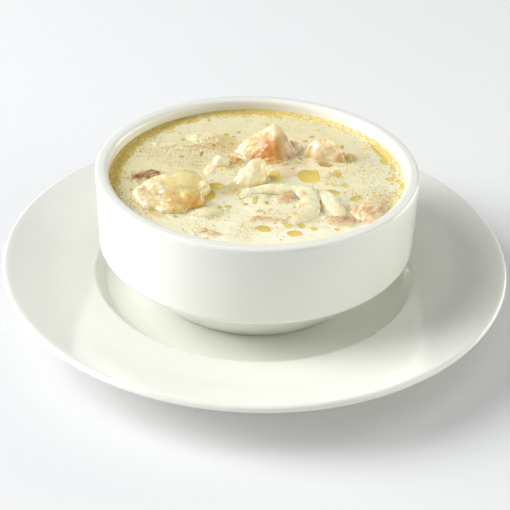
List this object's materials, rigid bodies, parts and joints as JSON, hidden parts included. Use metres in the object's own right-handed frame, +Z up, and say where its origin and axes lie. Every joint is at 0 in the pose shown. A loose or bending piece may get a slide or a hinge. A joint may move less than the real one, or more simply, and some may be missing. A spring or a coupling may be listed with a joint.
{
  "type": "bowl of trotter soup",
  "caption": "Straight-sided white soup bowl standing on its round saucer, filled with creamy trotter soup with oil drops and pieces of skin, jelly and meat.",
  "frame": {"origin": "centre of the saucer's foot ring, on the plane that it stands on", "axes": "+Z up through the middle of the bowl, -Y towards the front of the picture's view, +X to the right"},
  "size_m": [0.194, 0.194, 0.0633],
  "materials": {
    "bowl_glaze": "gloss",
    "saucer_glaze": "gloss",
    "broth": "gloss",
    "jelly": "gloss",
    "skin": "gloss",
    "sinew": "gloss",
    "meat": "satin",
    "gristle": "gloss",
    "oil": "gloss"
  },
  "bodies": {
    "root": {"bowl": "bowl_glaze", "saucer": "saucer_glaze", "broth": "broth", "jelly_cluster": "jelly", "trotter_wedge": "skin", "trotter_knuckle": "skin", "cream_lump": "skin", "grey_gristle": "gristle", "white_lump": "sinew", "small_white_lump": "sinew", "skin_strip": "sinew", "fold_arch": "sinew", "white_sinew": "sinew", "pale_fat": "sinew", "orange_morsel": "meat", "brown_morsel": "meat", "tendon_strip": "meat", "fold_meat": "meat", "fibrous_meat": "meat", "lower_shreds": "meat", "pink_strip": "meat", "edge_meat": "meat"}
  },
  "joints": []
}
